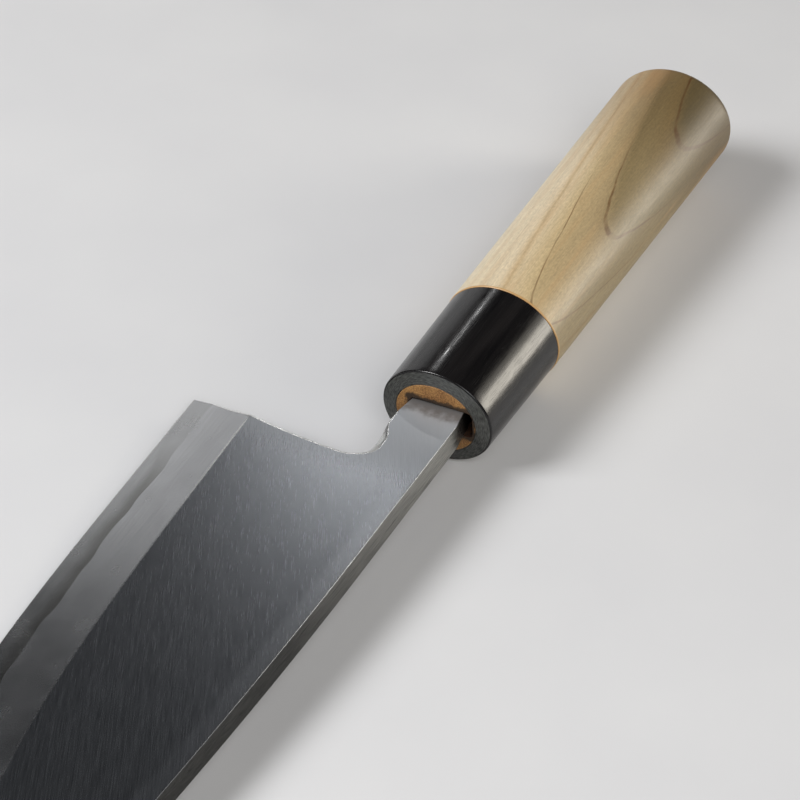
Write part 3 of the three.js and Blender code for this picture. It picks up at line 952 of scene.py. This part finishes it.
# Ring distance and place along the handle, both in mm
def ringDistance(tree, place):
    pithAway, wander = growth["pithAway"], growth["wander"]
    turn = math.radians(growth["pithAngle"])
    pith = (0, -pithAway * math.cos(turn), -pithAway * math.sin(turn))
    inMm = addNode(tree, "vector", {0: place, "Scale": 1 / mm}, **scaled)
    across = addNode(tree, "vector", {0: inMm, 1: pith}, operation="SUBTRACT")
    across = addNode(tree, "vector", {0: across, 1: (0, 1, 1)}, **times)
    away = addNode(tree, "vector", {0: across}, operation="LENGTH").node.outputs[1]
    x = addNode(tree, "split", {0: inMm})
    leaned = addNode(tree, "math", {0: x, 1: -growth["lean"], 2: away}, operation="MULTIPLY_ADD")
    bend = streaks(tree, place, 0, growth["bends"], seed=0.2)
    shift = (-pithAway - wander, -pithAway + wander)
    bend = addNode(tree, "range", {0: bend, **span(growth["bendSpread"], shift)})
    return addNode(tree, "math", {0: leaned, 1: bend}, operation="ADD"), x


# Magnolia wood, planed and sanded: cream with straight fibres, drawn coarser than real ones, and a tan-brown
# heart that ends in dark pointed lines. Runs are in mm along the handle, spineRun and lineSide across it,
# and tintRings and warmRings in mm of ring distance.
woodLook = {
    "roughness": (0.51, 0.41), "ior": 1.68, "relief": (0.2, 0.03),
    "fibres": (7, 0.2), "fibreTone": (0.88, 1.07), "flecks": (0.9, 0.34), "fleckTone": (0.86, 1.12),
    "lateWood": "#6d4f2c", "lineCore": 0.3, "lineRest": 0.12,
    "lineSide": (8, 11.5), "lineSideTone": (1.0, 0.85),
    "breaks": (9, 2.5), "breakSpread": (0.36, 0.56), "breakTone": (0.35, 1.0),
    "spineSideShade": "#7c6c47", "spineRun": (10, 13), "spineShare": (0, 0.75),
    "butt": "#cfc6b5", "buttRun": (-72, -120),
    "tint": "#c39a68", "tints": (45, 2.2), "tintSpread": (0.5, 0.72), "tintShare": (0, 0.3),
    "tintRings": (16.2, 15.0),
    "warm": "#a3773f", "patches": (26, 5), "warmSpread": (0.45, 0.65), "warmShare": (0, 0.5),
    "warmRun": (-104, -122), "warmStop": (-125.8, -124.2), "warmRings": (17.6, 15.4),
    "joint": "#c2965a", "jointRun": (-30.55, -30.3),
}


def sandedWood(name):
    look = woodLook
    material, tree, place = newMaterial(name, "knifePlace")
    distance, x = ringDistance(tree, place)
    y = addNode(tree, "split", {0: place}).node.outputs[1]
    first, last = ringTones[0][0], ringTones[-1][0]
    share = addNode(tree, "range", {0: distance, **span((first, last))})
    stops = [((at - first) / (last - first), code) for at, code in ringTones]
    base = addNode(tree, "ramp", {0: share}, stops=stops)
    # painted shade: the spine side of the handle is darkened to olive
    spineSideShade = addNode(tree, "range", {0: y, **spanMm(look["spineRun"], look["spineShare"])}, **soft)
    base = addNode(tree, "mix", {0: spineSideShade, 6: base, 7: colour(look["spineSideShade"])}, **tinted)

    # late wood
    line = None
    for at, half, strength, fadeRun in lateWood:
        off = addNode(tree, "math", {0: distance, 1: at}, operation="SUBTRACT")
        off = addNode(tree, "math", {0: off}, operation="ABSOLUTE")
        on = addNode(tree, "range", {0: off, **span((half, half * look["lineCore"]), (0, strength))}, **soft)
        fade = addNode(tree, "range", {0: x, **span(fadeRun, (1.0, look["lineRest"]))}, **soft)
        on = addNode(tree, "math", {0: on, 1: fade}, **times)
        line = addNode(tree, "math", {0: on, 1: line}, operation="MAXIMUM") if line else on
    faded = addNode(tree, "range", {0: y, **spanMm(look["lineSide"], look["lineSideTone"])}, **soft)
    line = addNode(tree, "math", {0: line, 1: faded}, **times)
    broken = streaks(tree, place, 0, look["breaks"], seed=0.35)
    broken = addNode(tree, "range", {0: broken, **span(look["breakSpread"], look["breakTone"])})
    line = addNode(tree, "math", {0: line, 1: broken}, **times)
    base = addNode(tree, "mix", {0: line, 6: base, 7: colour(look["lateWood"])}, **tinted)

    # fibres and flecks
    fibre = streaks(tree, place, 0, look["fibres"])
    sweep = addNode(tree, "range", {0: fibre, **span(noiseSpread, look["fibreTone"])})
    fleck = streaks(tree, place, 0, look["flecks"], seed=0.9)
    fleck = addNode(tree, "range", {0: fleck, **span(noiseSpread, look["fleckTone"])})
    sweep = addNode(tree, "math", {0: sweep, 1: fleck}, **times)
    base = addNode(tree, "vector", {0: base, "Scale": sweep}, **scaled)

    # painted shade greying towards the butt, tinted streaks in the pale wood, warm patches at the butt's
    # edge, and a tan line at the joint that is a painted highlight
    paintedButtShade = addNode(tree, "range", {0: x, **span(look["buttRun"])}, **soft)
    base = addNode(tree, "mix", {0: paintedButtShade, 6: base, 7: colour(look["butt"])}, blend_type="MULTIPLY", **tinted)
    tint = streaks(tree, place, 0, look["tints"], seed=0.5)
    tint = addNode(tree, "range", {0: tint, **span(look["tintSpread"], look["tintShare"])})
    pale = addNode(tree, "range", {0: distance, **span(look["tintRings"])}, **soft)
    tint = addNode(tree, "math", {0: tint, 1: pale}, **times)
    base = addNode(tree, "mix", {0: tint, 6: base, 7: colour(look["tint"])}, **tinted)
    warm = streaks(tree, place, 0, look["patches"], seed=0.7)
    warm = addNode(tree, "range", {0: warm, **span(look["warmSpread"], look["warmShare"])})
    nearButt = addNode(tree, "range", {0: x, **span(look["warmRun"])}, **soft)
    beforeEnd = addNode(tree, "range", {0: x, **span(look["warmStop"])})
    sapwood = addNode(tree, "range", {0: distance, **span(look["warmRings"])}, **soft)
    for limit in (nearButt, beforeEnd, sapwood):
        warm = addNode(tree, "math", {0: warm, 1: limit}, **times)
    base = addNode(tree, "mix", {0: warm, 6: base, 7: colour(look["warm"])}, **tinted)
    # painted highlight: a thin tan line along the joint with the ferrule
    joint = addNode(tree, "range", {0: x, **span(look["jointRun"])})
    base = addNode(tree, "mix", {0: joint, 6: base, 7: colour(look["joint"])}, **tinted)
    rough = addNode(tree, "range", {0: fibre, **span(noiseSpread, look["roughness"])})
    bump = addNode(tree, "bump", relief(fibre, look["relief"]))
    finishMaterial(tree, {"Base Color": base, "Roughness": rough, "Normal": bump, "IOR": look["ior"]})
    return material


# The same wood cut across: orange-tan end grain with dark pores, drawn coarser than real ones,
# and a ragged scorch round the tang
endLook = {
    "tones": ("#6b4520", "#ae824b"), "roughness": 0.6, "poreMm": 0.35, "relief": (0.5, 0.1),
    "patchMm": 3.2, "patchTone": (-0.35, 0.3),
    "burnt": "#100905", "burnMm": 1.6, "burnReach": 2.4, "burnRun": (0.2, -0.6),
    "frontRun": (-20, -10), "frontShare": (0, 0.9),
}


def endGrain(name):
    look, h = endLook, handle
    material, tree, place = newMaterial(name, "knifePlace")
    pores = addNode(tree, "noise", grains(place, look["poreMm"], detail=4.0))
    tone = addNode(tree, "range", {0: pores, **span(noiseSpread)})
    broad = addNode(tree, "noise", grains(place, look["patchMm"], detail=3.0))
    broad = addNode(tree, "range", {0: broad, **span(noiseSpread, look["patchTone"])})
    tone = addNode(tree, "math", {0: tone, 1: broad}, operation="ADD")
    base = addNode(tree, "ramp", {0: tone}, stops=tonesOf(look["tones"]))

    # distance from the slot's mouth, whatever the depth
    middle = (0, (h["slotLow"] + h["slotHigh"]) / 2 * mm, 0)
    half = (1, (h["slotHigh"] - h["slotLow"]) / 2 * mm, h["slotHalf"] * mm)
    away = addNode(tree, "vector", {0: place, 1: middle}, operation="SUBTRACT")
    away = addNode(tree, "vector", {0: away}, operation="ABSOLUTE")
    away = addNode(tree, "vector", {0: away, 1: half}, operation="SUBTRACT")
    away = addNode(tree, "vector", {0: away, 1: (0, 0, 0)}, operation="MAXIMUM")
    away = addNode(tree, "vector", {0: away}, operation="LENGTH").node.outputs[1]
    ragged = addNode(tree, "noise", grains(place, look["burnMm"], detail=4.0))
    ragged = addNode(tree, "math", {0: ragged, 1: -look["burnReach"] * mm, 2: away}, operation="MULTIPLY_ADD")
    burn = addNode(tree, "range", {0: ragged, **spanMm(look["burnRun"])}, **soft)
    x = addNode(tree, "split", {0: place})
    front = addNode(tree, "range", {0: x, **spanMm(look["frontRun"], look["frontShare"])})
    burn = addNode(tree, "math", {0: burn, 1: front}, **times)
    base = addNode(tree, "mix", {0: burn, 6: base, 7: colour(look["burnt"])}, **tinted)
    bump = addNode(tree, "bump", relief(pores, look["relief"]))
    finishMaterial(tree, {"Base Color": base, "Roughness": look["roughness"], "Normal": bump})
    return material


# The slot that the hot tang burned: charred brown with black grains
slotLook = {"tones": ("#1a0e07", "#4a2a12"), "charMm": 0.8, "charSpread": (0.35, 0.7), "roughness": 0.8}


def charredSlot(name):
    look = slotLook
    material, tree, place = newMaterial(name, "knifePlace")
    tone = addNode(tree, "noise", grains(place, look["charMm"], detail=4.0))
    tone = addNode(tree, "range", {0: tone, **span(look["charSpread"])})
    base = addNode(tree, "ramp", {0: tone}, stops=tonesOf(look["tones"]))
    finishMaterial(tree, {"Base Color": base, "Roughness": look["roughness"]})
    return material


# Painted board under the knife: pale, flat grey with hardly a cloud in it
boardLook = {"tones": ("#d6d6d8", "#dcdcdd"), "cloudMm": 60, "roughness": 0.75, "reach": 4.0}


def paintedBoard(name):
    look = boardLook
    material, tree = newMaterial(name)
    place = addNode(tree, "place").node.outputs["Object"]
    cloud = addNode(tree, "noise", grains(place, look["cloudMm"], detail=5.0))
    base = addNode(tree, "ramp", {0: cloud}, stops=list(zip(noiseSpread, look["tones"])))
    finishMaterial(tree, {"Base Color": base, "Roughness": look["roughness"]})
    return material


# Camera at the photograph's place, in the knife frame
photoView = {
    "from": (284.83, 163.69, 281.56), "forward": (-0.65456, -0.39576, -0.64415),
    "down": (0.58543, 0.27378, -0.7631), "lensPx": 2100, "framePx": 800, "sensorMm": 36, "clipFrom": 0.01,
}


def makeCamera():
    view = photoView
    data = bpy.data.cameras.new("photoCamera")
    camera = bpy.data.objects.new("photoCamera", data)
    bpy.context.scene.collection.objects.link(camera)
    forward = Vector(view["forward"]).normalized()
    up = -Vector(view["down"])
    right = forward.cross(up).normalized()
    up = right.cross(forward)
    turn = Matrix((right, up, -forward)).transposed().to_4x4()
    camera.matrix_world = lay @ Matrix.Translation(Vector(view["from"]) * mm) @ turn
    data.sensor_width = view["sensorMm"]
    data.lens = view["lensPx"] / view["framePx"] * view["sensorMm"]
    data.clip_start = view["clipFrom"]
    bpy.context.scene.camera = camera


# Softboxes: place and aim in the row frame, metres
lamps = {
    "keySoftbox": {"at": (0.62, -0.72, 0.88), "aim": (0.0, 0.0, 0.0), "size": (0.5, 0.5), "watts": 15},
    "frontFill": {"at": (0.85, 0.75, 1.1), "aim": (0.0, 0.0, 0.0), "size": (0.9, 0.9), "watts": 11},
    "backPanel": {"at": (-1.11, -0.95, 0.33), "aim": (0.0, 0.0, 0.0), "size": (0.98, 0.62), "watts": 1.25},
    "backSpot": {"at": (-1.93, -1.51, 1.76), "aim": (-0.03, 0.0, 0.02), "size": (0.12, 0.12), "watts": 1.4},
    "rightSoftbox": {"at": (-0.83, 0.88, 0.31), "aim": (-0.05, 0.0, 0.02), "size": (0.42, 0.40), "watts": 4.9,
                     "shade": "#fff8ea"},
    "rightFill": {"at": (-1.02, 1.10, 0.46), "aim": (-0.05, 0.0, 0.02), "size": (0.7, 0.9), "watts": 4.3,
                  "shade": "#fff8ea"},
}
world = {"shade": "#8d8f93", "strength": 0.1}


def makeLamps():
    for name, lamp in lamps.items():
        data = bpy.data.lights.new(name, "AREA")
        data.shape = "RECTANGLE"
        data.size, data.size_y = lamp["size"]
        data.energy = lamp["watts"]
        data.color = colour(lamp.get("shade", "#ffffff"))[:3]
        light = bpy.data.objects.new(name, data)
        bpy.context.scene.collection.objects.link(light)
        light.location = lamp["at"]
        light.visible_camera = False
        light.rotation_euler = (Vector(lamp["aim"]) - Vector(lamp["at"])).to_track_quat("-Z", "Y").to_euler()
    sky = bpy.data.worlds.new("studioWorld")
    sky.use_nodes = True
    background = sky.node_tree.nodes["Background"]
    background.inputs[0].default_value = colour(world["shade"])
    background.inputs[1].default_value = world["strength"]
    bpy.context.scene.world = sky


def makeFloor():
    data = bpy.data.meshes.new("studioFloor")
    reach = boardLook["reach"]
    corners = [(-reach, -reach, 0), (reach, -reach, 0), (reach, reach, 0), (-reach, reach, 0)]
    data.from_pydata(corners, [], [(0, 1, 2, 3)])
    data.materials.append(paintedBoard("boardPainted"))
    floor = bpy.data.objects.new("studioFloor", data)
    bpy.context.scene.collection.objects.link(floor)


makeCamera()
makeLamps()
makeFloor()
print("stage: camera, lamps and floor")

bevelIron = stonedBevel("softIronStoned", False)
flatIron = brushedFlat("softIronBrushed")
spineIron = groundLengthwise("softIronSpineGround", spineLook)
backIron = groundLengthwise("softIronBackGround", backLook)
bevelSteel = stonedBevel("carbonSteelStoned", True)
spineSteel = groundLengthwise("carbonSteelSpineGround", spineLook)
backSteel = groundLengthwise("carbonSteelBackGround", backLook)
rubbedGlintIron = rubbedGlintEdge("softIronRubbedGlint")
bladeIron, bladeSteel = makeBlade([bevelIron, flatIron, spineIron, backIron, rubbedGlintIron],
                                  [bevelSteel, bevelSteel, spineSteel, backSteel, bevelSteel])
print("blade: iron", len(bladeIron.data.polygons), "faces, steel", len(bladeSteel.data.polygons))

ferrule = makeFerrule([buffedHorn("buffaloHornBuffed"), sandedHorn("buffaloHornSanded")])
grip = makeGrip([sandedWood("magnoliaSanded"), endGrain("magnoliaEndGrain"), charredSlot("magnoliaCharred")])
print("handle: ferrule", len(ferrule.data.polygons), "faces, grip", len(grip.data.polygons))

dressed = (
    (bladeIron, "blade_cladding", "soft_iron"), (bladeSteel, "edge_steel", "carbon_steel"),
    (ferrule, "horn_ferrule", "horn"), (grip, "wooden_grip", "ho_wood"),
)
for piece, node, slotName in dressed:
    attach(piece, "root")
    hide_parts(node)

bpy.context.scene.view_settings.view_transform = "Standard"
